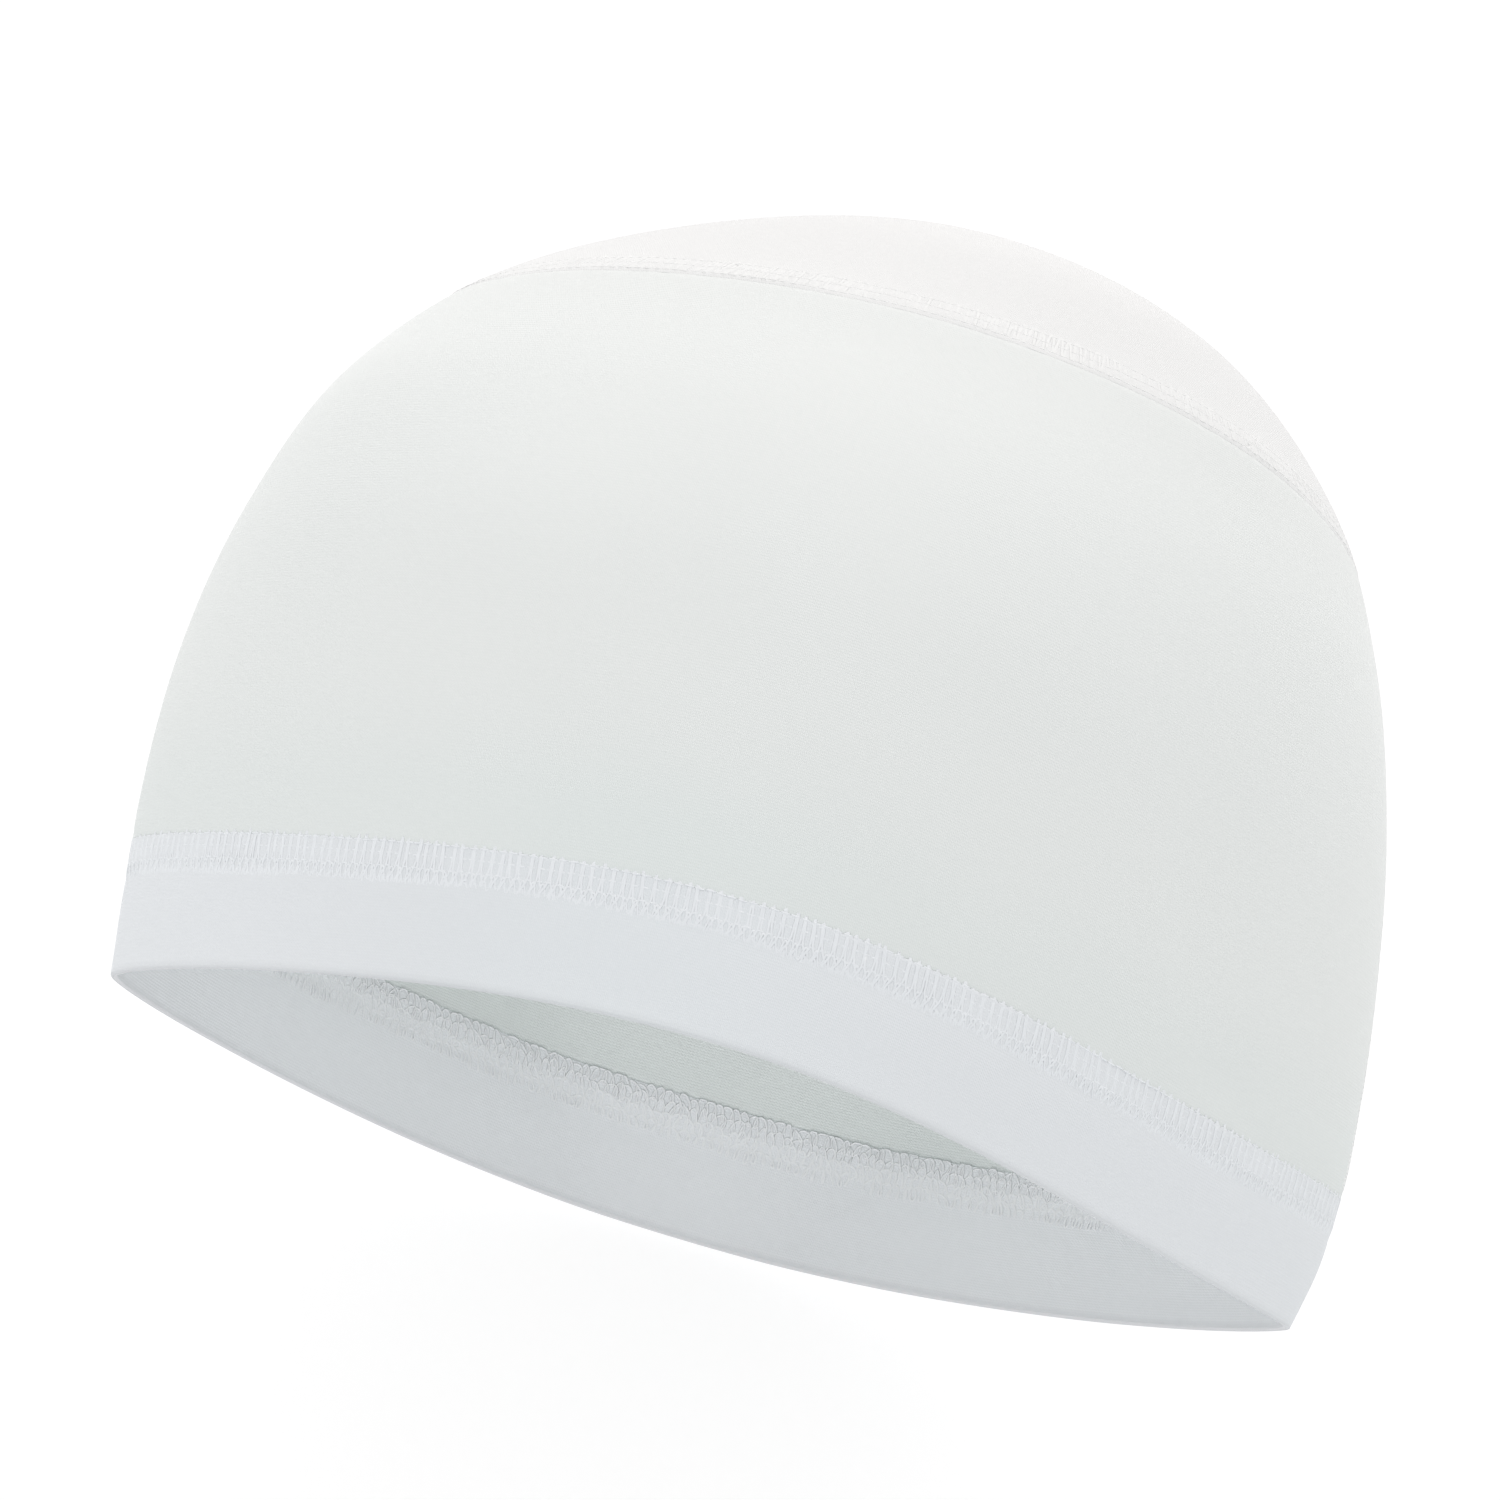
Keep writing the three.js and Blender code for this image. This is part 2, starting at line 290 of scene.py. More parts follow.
# =====================================================================================================================
# Mesh building
# =====================================================================================================================
def mesh_object(name, points, quads, uvs=None, bake=None, materials=(), material_of=None, tris=None, painted_light=None):
    """points in millimetres; quads is an array of vertex numbers; uvs and bake are one pair per face corner; the last
    argument is painted light and shade: how much lighter or darker the cloth is painted at each point, as one number or
    as red, green and blue."""
    faces = [] if quads is None else [tuple(q) for q in np.asarray(quads).tolist()]
    if tris is not None:
        faces += [tuple(t) for t in np.asarray(tris).tolist()]
    me = bpy.data.meshes.new(name)
    me.from_pydata((np.asarray(points) * MM).tolist(), [], faces)
    if uvs is not None:
        layer = me.uv_layers.new(name="knit")
        layer.data.foreach_set("uv", np.asarray(uvs, np.float32).ravel())
    if bake is not None:
        layer = me.uv_layers.new(name="OFBake")
        layer.data.foreach_set("uv", np.asarray(bake, np.float32).ravel())
    # painted light and shade, kept as a shift from 1 in a point attribute
    if painted_light is not None:
        painted_light = np.asarray(painted_light, np.float32).reshape(len(points), -1) - 1
        layer = me.attributes.new("painted_light_shift", "FLOAT_VECTOR", "POINT")
        layer.data.foreach_set("vector", np.ascontiguousarray(np.broadcast_to(painted_light, (len(points), 3))).ravel())
    for m in materials:
        me.materials.append(m)
    if material_of is not None:
        me.polygons.foreach_set("material_index", np.asarray(material_of, np.int32))
    me.polygons.foreach_set("use_smooth", np.ones(len(me.polygons), bool))
    me.validate(clean_customdata=False)
    me.update()
    ob = bpy.data.objects.new(name, me)
    scene.collection.objects.link(ob)
    return ob


def sheet_grid(rings, uv_rings, closed, materials, name, inside_from, flip=False, painted_light=None):
    """A closed sheet from rings[i][j]: i round the cap, j round the cloth's own section. uv_rings has one more in both
    directions, where the pattern closes. Faces from section step inside_from on take the second material."""
    n, m = rings.shape[:2]
    idx = np.arange(n * m).reshape(n, m)
    ni = n if closed else n - 1
    i = np.arange(ni)
    j = np.arange(m)
    I, J = np.meshgrid(i, j, indexing="ij")
    i2, j2 = (I + 1) % n, (J + 1) % m
    quads = np.stack([idx[I, J], idx[I, j2], idx[i2, j2], idx[i2, J]], -1)
    uv = np.stack([uv_rings[I, J], uv_rings[I, J + 1], uv_rings[I + 1, J + 1], uv_rings[I + 1, J]], -2)
    bu = I / ni
    bv = J / m
    du, dv = 1 / ni, 1 / m
    bake = np.stack(
        [np.stack([bu, bv], -1), np.stack([bu, bv + dv], -1), np.stack([bu + du, bv + dv], -1), np.stack([bu + du, bv], -1)],
        -2,
    )
    bake = 0.004 + 0.992 * bake
    mat = np.broadcast_to((J >= inside_from[0]) & (J < inside_from[1]), I.shape).astype(int)
    quads, uv, bake, mat = quads.reshape(-1, 4), uv.reshape(-1, 4, 2), bake.reshape(-1, 4, 2), mat.reshape(-1)
    if not closed:  # the two ends of the strip
        half = m // 2
        ends = []
        for e, rev in ((0, False), (n - 1, True)):
            for k in range(half - 1):
                q = [idx[e, k + 1], idx[e, k], idx[e, m - 1 - k], idx[e, m - 2 - k]]
                ends.append(q[::-1] if rev else q)
        ends = np.array(ends)
        quads = np.concatenate([quads, ends])
        uv = np.concatenate([uv, np.broadcast_to(uv_rings[0, 0], (len(ends), 4, 2))])
        strip = np.linspace(0, 0.003, 2)
        b = np.zeros((len(ends), 4, 2))
        k = np.arange(len(ends)) / len(ends)
        b[:, 0] = np.stack([k, np.full_like(k, 0.0)], -1)
        b[:, 1] = np.stack([k + 1 / len(ends), np.full_like(k, 0.0)], -1)
        b[:, 2] = np.stack([k + 1 / len(ends), np.full_like(k, strip[1])], -1)
        b[:, 3] = np.stack([k, np.full_like(k, strip[1])], -1)
        bake = np.concatenate([bake, b])
        mat = np.concatenate([mat, np.zeros(len(ends), int)])
    if flip:
        quads = quads[:, ::-1]
        uv = uv[:, ::-1]
        bake = bake[:, ::-1]
    return mesh_object(name, rings.reshape(-1, 3), quads, uv, bake, materials, mat, painted_light=painted_light)


def cut_edge(thick):
    """A cut edge from the outer face to the inner one: how far on along the cloth, and how deep."""
    q = math.sqrt(0.5)
    on = np.array([q, 1.0, 1.0, q]) * CORNER
    deep = np.array([CORNER * (1 - q), CORNER, thick - CORNER, thick - CORNER * (1 - q)])
    return on, deep


def columns(count, ring):
    """Angles round the cap: between even by angle and even by length, so that the tight ends get enough of them."""
    a = np.linspace(0, TAU, 2881)
    w = np.sqrt(np.gradient(np.interp(a, ring.a, ring.d), a))
    c = np.concatenate([[0], np.cumsum((w[1:] + w[:-1]) / 2)])
    return np.interp(np.linspace(0, c[-1], count + 1), c, a)


# ---- Threads as flattened tubes -------------------------------------------------------------------------------------
def tubes(name, paths, normals, width, height, sides, material, smooth=True):
    """Joins paths[k, i] of equal point count, in millimetres, into one mesh of closed tubes. Each is width by height
    (half sizes), flat along the cloth, whose outward direction is normals[k, i]."""
    paths, nrm = np.asarray(paths), np.asarray(normals)
    n, m = paths.shape[:2]
    t = np.gradient(paths, axis=1)
    t /= np.linalg.norm(t, axis=-1, keepdims=True) + 1e-12
    nrm = nrm - t * (nrm * t).sum(-1, keepdims=True)
    nrm /= np.linalg.norm(nrm, axis=-1, keepdims=True) + 1e-12
    bi = np.cross(t, nrm)
    ang = np.arange(sides) / sides * TAU
    pts = paths[:, :, None] + (
        np.sin(ang)[None, None, :, None] * height * nrm[:, :, None] - np.cos(ang)[None, None, :, None] * width * bi[:, :, None]
    )
    pts = above_floor(pts)
    idx = np.arange(n * m * sides).reshape(n, m, sides)
    K, I, S = np.meshgrid(np.arange(n), np.arange(m - 1), np.arange(sides), indexing="ij")
    i2, s2 = I + 1, (S + 1) % sides
    quads = np.stack([idx[K, I, S], idx[K, I, s2], idx[K, i2, s2], idx[K, i2, S]], -1).reshape(-1, 4)
    faces = [tuple(q) for q in quads.tolist()]
    for k in range(n):
        faces.append(tuple(idx[k, 0, ::-1].tolist()))
        faces.append(tuple(idx[k, m - 1].tolist()))
    me = bpy.data.meshes.new(name)
    me.from_pydata((pts.reshape(-1, 3) * MM).tolist(), [], faces)
    me.materials.append(material)
    me.polygons.foreach_set("use_smooth", np.full(len(me.polygons), smooth))
    me.update()
    ob = bpy.data.objects.new(name, me)
    scene.collection.objects.link(ob)
    return ob


def chopped(path, pieces):
    """One long closed path [m, 3] as several shorter paths of equal point count that meet end to end, as few of them
    from pieces upward as divide it evenly, so that none runs over another's start."""
    m = len(path)
    pieces = next(k for k in range(pieces, m + 1) if m % k == 0)
    each = m // pieces
    return np.array([path[(np.arange(each + 1) + k * each) % m] for k in range(pieces)])


def smooth_line(rows, per_row, closed, jump):
    """Points on a smooth line through rows [k, c], per_row of them for each row on average. A closed line comes back to
    its start with jump added, as when the distance round the cap has grown by one turn."""
    n = len(rows)
    jump = np.asarray(jump, float)
    if closed:
        d = np.arange(int(round(n * per_row))) / per_row
        at = lambda j: rows[j % n] + jump * np.floor_divide(j, n)[:, None]
    else:
        d = np.linspace(0, n - 1.001, int(n * per_row))
        at = lambda j: rows[np.clip(j, 0, n - 1)]
    i = np.floor(d).astype(int)
    t = (d - i)[:, None]
    p0, p1, p2, p3 = at(i - 1), at(i), at(i + 1), at(i + 2)
    return 0.5 * (2 * p1 + (p2 - p0) * t + (2 * p0 - 5 * p1 + 4 * p2 - p3) * t * t + (3 * p1 - p0 - 3 * p2 + p3) * t**3)


# =====================================================================================================================
# Materials
# =====================================================================================================================
def material(name, base, rough, sheen=0.0, sheen_rough=0.5, specular=0.3):
    m = bpy.data.materials.new(name)
    m.use_nodes = True
    nt = m.node_tree
    nt.nodes.clear()
    out = nt.nodes.new("ShaderNodeOutputMaterial")
    b = nt.nodes.new("ShaderNodeBsdfPrincipled")
    nt.links.new(b.outputs["BSDF"], out.inputs["Surface"])
    b.inputs["Base Color"].default_value = (*base, 1)
    b.inputs["Roughness"].default_value = rough
    b.inputs["Sheen Weight"].default_value = sheen
    b.inputs["Sheen Roughness"].default_value = sheen_rough
    b.inputs["Specular IOR Level"].default_value = specular
    m.diffuse_color = (*base, 1)
    return m, nt, b


class Nodes:
    """Short names for building a node tree."""

    def __init__(self, nt):
        self.nt = nt

    def math(self, op, a, b=None, c=None, clamp=False):
        n = self.nt.nodes.new("ShaderNodeMath")
        n.operation = op
        n.use_clamp = clamp
        for i, v in enumerate((a, b, c)):
            if v is None:
                continue
            if isinstance(v, (int, float)):
                n.inputs[i].default_value = v
            else:
                self.nt.links.new(v, n.inputs[i])
        return n.outputs[0]

    def noise(self, vector, scale, detail=2.0, rough=0.5, dims="3D"):
        n = self.nt.nodes.new("ShaderNodeTexNoise")
        n.noise_dimensions = dims
        n.inputs["Scale"].default_value = scale
        n.inputs["Detail"].default_value = detail
        n.inputs["Roughness"].default_value = rough
        self.nt.links.new(vector, n.inputs["Vector"])
        return n.outputs["Fac"]

    def coords(self, kind="Object"):
        n = self.nt.nodes.new("ShaderNodeTexCoord")
        return n.outputs[kind]

    def uv(self, name):
        n = self.nt.nodes.new("ShaderNodeUVMap")
        n.uv_map = name
        return n.outputs["UV"]

    def split(self, vector):
        n = self.nt.nodes.new("ShaderNodeSeparateXYZ")
        self.nt.links.new(vector, n.inputs[0])
        return n.outputs

    def ramp(self, fac, stops):
        n = self.nt.nodes.new("ShaderNodeValToRGB")
        while len(n.color_ramp.elements) < len(stops):
            n.color_ramp.elements.new(0.5)
        for e, (at, col) in zip(n.color_ramp.elements, stops):
            e.position = at
            e.color = (*col, 1)
        self.nt.links.new(fac, n.inputs["Fac"])
        return n.outputs["Color"]

    def bump(self, height, strength, distance, normal=None):
        n = self.nt.nodes.new("ShaderNodeBump")
        n.inputs["Strength"].default_value = strength
        n.inputs["Distance"].default_value = distance
        self.nt.links.new(height, n.inputs["Height"])
        if normal is not None:
            self.nt.links.new(normal, n.inputs["Normal"])
        return n.outputs["Normal"]


def knit_material(name, base, dark, rough, wale=0.62, course=0.50, depth=0.10, wrong_side=False, strength=0.5):
    """Fine jersey: rows of V loops on the right side, rows of small arcs on the wrong side. The UV map is in metres."""
    m, nt, b = material(name, base, rough, sheen=0.22, sheen_rough=0.45, specular=0.25)
    k = Nodes(nt)
    x, y, _ = k.split(k.uv("knit"))
    x = k.math("MULTIPLY", x, 1 / (wale * MM))
    y = k.math("MULTIPLY", y, 1 / (course * MM))
    # the loops aren't quite even: the rows wander a little
    obj = k.coords("Object")
    wander = k.noise(obj, 90.0, 1.0)
    x = k.math("ADD", x, k.math("MULTIPLY", wander, 0.5))
    y = k.math("ADD", y, k.math("MULTIPLY", k.noise(obj, 120.0, 1.0), 0.5))
    fx = k.math("FRACT", x)
    off = k.math("ABSOLUTE", k.math("SUBTRACT", fx, 0.5))  # 0 in the middle of a wale, 0.5 between wales
    if wrong_side:
        # arcs that bridge neighbouring wales, half a row apart
        arc = k.math("MULTIPLY", k.math("COSINE", k.math("MULTIPLY", fx, TAU)), 0.16)
        row = k.math("COSINE", k.math("MULTIPLY", k.math("ADD", y, arc), TAU))
        row = k.math("ADD", k.math("MULTIPLY", row, 0.5), 0.5)
        height = k.math("MULTIPLY", row, k.math("ADD", k.math("MULTIPLY", off, 0.9), 0.55))
    else:
        leg = k.math("SINE", k.math("MULTIPLY", fx, TAU))
        leg = k.math("POWER", k.math("ABSOLUTE", leg), 0.7)  # two legs to a wale
        row = k.math("COSINE", k.math("MULTIPLY", k.math("SUBTRACT", y, k.math("MULTIPLY", off, 1.1)), TAU))
        row = k.math("ADD", k.math("MULTIPLY", row, 0.32), 0.68)
        height = k.math("MULTIPLY", leg, row)
    fuzz = k.noise(obj, 2600.0, 2.0, 0.6)
    height = k.math("ADD", height, k.math("MULTIPLY", fuzz, 0.35))
    nt.links.new(k.bump(height, strength, depth * MM), b.inputs["Normal"])
    # colour: painted shade in the loops' hollows, with a faint cloudiness over the cloth
    cloud = k.math("MULTIPLY", k.math("SUBTRACT", k.noise(obj, 28.0, 3.0, 0.55), 0.5), 0.22)
    slub = k.math("MULTIPLY", k.math("SUBTRACT", k.noise(obj, 900.0, 2.0, 0.6), 0.5), 0.35)
    shade = k.math("ADD", k.math("ADD", k.math("MULTIPLY", height, 0.55), 0.38), k.math("ADD", cloud, slub), clamp=True)
    # the cloth's colour times the painted light and shade that the mesh carries
    painted_light = nt.nodes.new("ShaderNodeAttribute")
    painted_light.attribute_name = "painted_light_shift"
    scaled = nt.nodes.new("ShaderNodeVectorMath")
    scaled.operation = "MULTIPLY_ADD"
    plain = k.ramp(shade, [(0.0, dark), (1.0, base)])
    nt.links.new(plain, scaled.inputs[0])
    nt.links.new(plain, scaled.inputs[2])
    nt.links.new(painted_light.outputs["Vector"], scaled.inputs[1])
    nt.links.new(scaled.outputs["Vector"], b.inputs["Base Color"])
    r = k.math("ADD", k.math("MULTIPLY", shade, -0.08), rough + 0.04)
    nt.links.new(r, b.inputs["Roughness"])
    return m


def thread_material(name, base, dark):
    """Textured polyester sewing thread: fine filaments, a little brighter than the knit."""
    m, nt, b = material(name, base, 0.62, sheen=0.25, sheen_rough=0.4, specular=0.35)
    k = Nodes(nt)
    obj = k.coords("Object")
    fine = k.noise(obj, 5200.0, 2.0, 0.65)
    tint = k.noise(obj, 420.0, 2.0, 0.5)
    shade = k.math("ADD", k.math("MULTIPLY", fine, 0.6), k.math("MULTIPLY", tint, 0.5), clamp=True)
    nt.links.new(k.ramp(shade, [(0.15, dark), (0.75, base)]), b.inputs["Base Color"])
    nt.links.new(k.bump(fine, 0.5, 0.04 * MM), b.inputs["Normal"])
    nt.links.new(k.math("ADD", k.math("MULTIPLY", fine, 0.15), 0.55), b.inputs["Roughness"])
    return m


SIDE_OUT = knit_material("side_knit", (0.83, 0.86, 0.85), (0.765, 0.80, 0.79), 0.80)
SIDE_IN = knit_material("side_knit_inside", (0.89, 0.92, 0.91), (0.835, 0.865, 0.855), 0.85, wrong_side=True)
# the crown's outer knit is painted darker than the side's, as painted shade against the stronger light on the crown
CROWN_OUT_PAINTED_DARKER = knit_material("crown_knit", (0.760, 0.774, 0.772), (0.705, 0.719, 0.717), 0.80)
CROWN_IN = knit_material("crown_knit_inside", (0.89, 0.92, 0.91), (0.835, 0.865, 0.855), 0.85, wrong_side=True)
HEM_OUT = knit_material("hem_knit", (0.81, 0.842, 0.866), (0.75, 0.785, 0.809), 0.78)
HEM_IN = knit_material("hem_knit_inside", (0.905, 0.925, 0.95), (0.85, 0.87, 0.895), 0.82)
THREAD = thread_material("stitch_thread", (0.836, 0.871, 0.896), (0.776, 0.811, 0.839))
SIDE_THREAD = thread_material("side_thread", (0.86, 0.888, 0.878), (0.80, 0.832, 0.822))
# the crown thread is painted darker likewise, as painted shade against the stronger light on the crown
CROWN_THREAD_PAINTED_DARKER = thread_material("crown_thread", (0.800, 0.815, 0.811), (0.764, 0.779, 0.775))
# the under thread is painted lighter, as painted light against the shade between its loops
LOOPER_PAINTED_LIGHTER = thread_material("looper_thread", (0.955, 0.97, 0.985), (0.92, 0.94, 0.96))

# =====================================================================================================================
# The cloth
# =====================================================================================================================
def section_points(angle, s, depth, relief):
    """Points for arrays of angle, cloth height s and depth under the outer face."""
    l = level_at(angle, s)
    return above_floor(face(angle, l) + outward(angle, l) * (relief - depth)[..., None])


def side_cloth():
    n, rows = 400, 72
    a = columns(n, RIM)
    first = along_angle(ARC_HEM, a) + CLOSE
    last = along_angle(ARC_SEAM, a) - CLOSE
    on, deep = cut_edge(CLOTH)
    t = np.linspace(0, 1, rows)
    t = t - 0.30 * np.sin(TAU * t) / TAU  # finer near the two seams
    s_list, d_list = [], []
    run = last - first - 2 * CORNER
    for v in t:
        s_list.append(first + CORNER + run * v)
        d_list.append(np.zeros(n + 1))
    for o, d in zip(on, deep):
        s_list.append(last - CORNER + o)
        d_list.append(np.full(n + 1, d))
    for v in t[::-1]:
        s_list.append(first + CORNER + run * v)
        d_list.append(np.full(n + 1, CLOTH))
    for o, d in zip(on, deep):
        s_list.append(first + CORNER - o)
        d_list.append(np.full(n + 1, CLOTH - d))
    S, D = np.stack(s_list, 1), np.stack(d_list, 1)
    A = np.broadcast_to(a[:, None], S.shape)
    P = section_points(A, S, D, relief_side(A, S))
    # the strip closes at the middle of the back with a hair's gap under the stitching
    P[0, :, 2] += CLOSE
    P[-1, :, 2] -= CLOSE
    u = RIM.distance(a)
    u[-1] = RIM.length
    V = S - first[:, None]
    U = np.broadcast_to(u[:, None], S.shape)
    uv = np.stack([U, V], -1) * MM
    uv = np.concatenate([uv, uv[:, :1]], 1)
    m = S.shape[1]
    # painted shade and light: the knit is painted darker just under the crown seam, darker with a painted cool tint
    # above the hem, and a touch lighter round 126 degrees halfway up
    deg = np.degrees(A)
    low = np.exp(-(((S - 28) / 13) ** 2))
    painted_light = (1 - 0.043 * np.exp(-(((last[:, None] - S) / 11) ** 2))) * (1 - 0.020 * low)
    painted_light = painted_light * (1 + 0.025 * np.exp(-(((deg - 126) / 18) ** 2) - (((level_at(A, S) - 0.46) / 0.08) ** 2)))
    painted_cool_light = 1 - 0.014 * low - 0.012 * low * np.exp(-(((deg - 102) / 17) ** 2))
    return sheet_grid(P, uv, False, (SIDE_OUT, SIDE_IN), "side_cloth", (rows + 4, m - 4), flip=True, painted_light=np.stack([painted_light * painted_cool_light, painted_light, painted_light], -1))


def crown_cloth():
    """An oval dome from a square grid drawn onto a disc, so that its quads stay even up to the top."""
    k = 74  # rings
    g = np.arange(-k, k + 1)
    gx, gy = np.meshgrid(g, g, indexing="ij")
    r = np.maximum(np.abs(gx), np.abs(gy))
    with np.errstate(divide="ignore", invalid="ignore"):
        east = np.where(np.abs(gx) >= np.abs(gy), np.where(gx != 0, gy / np.where(gx == 0, 1, gx), 0), 0)
        north = np.where(np.abs(gx) < np.abs(gy), np.where(gy != 0, gx / np.where(gy == 0, 1, gy), 0), 0)
    theta = np.where(
        np.abs(gx) >= np.abs(gy), (math.pi / 4) * east + np.where(gx < 0, math.pi, 0), math.pi / 2 - (math.pi / 4) * north + np.where(gy < 0, math.pi, 0)
    )
    theta = np.mod(theta, TAU)
    rho = r / k
    # distances round the oval are taken at the seam, so that theta is evenly spread there
    ang = CROWN_RING.angle(theta / TAU * CROWN_RING.length)
    top = along_angle(ARC_TOP, ang)
    first = along_angle(ARC_SEAM, ang) + CLOSE + CORNER
    s = top - (top - first) * rho
    t = s - along_angle(ARC_SEAM, ang)
    rel = relief_crown(ang, t)
    apex = face(0.0, 1.0)
    l = level_at(ang, s)
    n = outward(ang, l)
    calm = np.clip((1 - l) / 0.03, 0, 1)[..., None]
    n = n * calm + np.array([0, 1.0, 0]) * (1 - calm)
    n /= np.linalg.norm(n, axis=-1, keepdims=True)
    outer = face(ang, l) + n * rel[..., None]
    outer[k, k] = apex + np.array([0, rel[k, k], 0])
    under = face(ang, l) + n * (rel - CLOTH)[..., None]
    under[k, k] = apex + np.array([0, rel[k, k] - CLOTH, 0])
    # the oval laid flat, for the knit
    direction = np.arctan2(face(ang, 0.8)[..., 2] - apex[2], face(ang, 0.8)[..., 0] - apex[0])
    flat = (top - s)[..., None] * np.stack([np.cos(direction), np.sin(direction)], -1)
    w = 2 * k + 1
    outer_i = np.arange(w * w).reshape(w, w)
    under_i = outer_i + w * w
    points = [outer.reshape(-1, 3), under.reshape(-1, 3)]
    uvs = [flat.reshape(-1, 2), flat.reshape(-1, 2)]
    # painted light and shade: the crown is painted lighter within some 16 mm of its seam and a touch darker round 128
    # degrees
    painted_light = (1 + 0.065 * np.exp(-((t / 16) ** 2))) * (1 - 0.014 * np.exp(-(((np.degrees(ang) - 128) / 22) ** 2)))
    painted_lights = [painted_light.ravel(), painted_light.ravel()]
    disc = 0.245 + 0.24 * rho[..., None] * np.stack([np.cos(theta), np.sin(theta)], -1)
    bakes = [disc.reshape(-1, 2) + [0.005, 0.005], disc.reshape(-1, 2) + [0.505, 0.505]]
    quads, mats = [], []
    I, J = np.meshgrid(np.arange(w - 1), np.arange(w - 1), indexing="ij")
    q = np.stack([outer_i[I, J], outer_i[I + 1, J], outer_i[I + 1, J + 1], outer_i[I, J + 1]], -1).reshape(-1, 4)
    quads.append(q[:, ::-1])
    mats.append(np.zeros(len(q), int))
    q = np.stack([under_i[I, J], under_i[I, J + 1], under_i[I + 1, J + 1], under_i[I + 1, J]], -1).reshape(-1, 4)
    quads.append(q[:, ::-1])
    mats.append(np.ones(len(q), int))
    # rounded edge, round the border of the grid
    border = (
        [(i, 0) for i in range(w - 1)] + [(w - 1, j) for j in range(w - 1)] + [(i, w - 1) for i in range(w - 1, 0, -1)] + [(0, j) for j in range(w - 1, 0, -1)]
    )
    bi, bj = np.array(border).T
    on, deep = cut_edge(CLOTH)
    levels = [outer_i[bi, bj]]
    base = 2 * w * w
    for e, (o, d) in enumerate(zip(on, deep)):
        sa = first[bi, bj] - o
        la = level_at(ang[bi, bj], sa)
        na = outward(ang[bi, bj], la)
        ra = relief_crown(ang[bi, bj], sa - along_angle(ARC_SEAM, ang[bi, bj]))
        points.append(face(ang[bi, bj], la) + na * (ra - d)[:, None])
        uvs.append(flat[bi, bj])
        painted_lights.append(painted_light[bi, bj])
        edge_uv = np.stack([np.arange(len(bi)) / len(bi) * 0.49, np.full(len(bi), 0.6 + 0.02 * e)], -1)
        bakes.append(edge_uv)
        levels.append(base + np.arange(len(bi)))
        base += len(bi)
    levels.append(under_i[bi, bj])
    for a0, a1 in zip(levels[:-1], levels[1:]):
        q = np.stack([a0, a1, np.roll(a1, -1), np.roll(a0, -1)], -1)
        quads.append(q[:, ::-1])
        mats.append(np.zeros(len(q), int))
    points, uvs, bakes = np.concatenate(points), np.concatenate(uvs) * MM, np.concatenate(bakes)
    quads, mats = np.concatenate(quads), np.concatenate(mats)
    return mesh_object("crown_cloth", above_floor(points), quads, uvs[quads], bakes[quads], (CROWN_OUT_PAINTED_DARKER, CROWN_IN), mats, painted_light=np.concatenate(painted_lights))


def ease(t):
    t = np.clip(t, 0, 1)
    return t * t * (3 - 2 * t)


def hem_thick(s, top):
    """Both plies together: pressed thin towards the fold and at the sewn edge."""
    return FOLD + (HEM_CLOTH - FOLD) * ease((s - 1.0) / 14.0) - (HEM_CLOTH - SEWN) * ease((s - top) / 1.6 + 1)


def hem_ply(s, top):
    return FOLD_PLY + (PLY - FOLD_PLY) * ease((s - 1.0) / 14.0) - (PLY - SEWN_PLY) * ease((s - top) / 1.6 + 1)


def squared(t, r, centre):
    """A fold pressed rather square: s and depth at a share t of half a turn."""
    c, n = math.cos(t), math.sin(t)
    k = (abs(c) ** 3 + abs(n) ** 3) ** (-1 / 3)
    return centre - r * n * k, centre - r * c * k


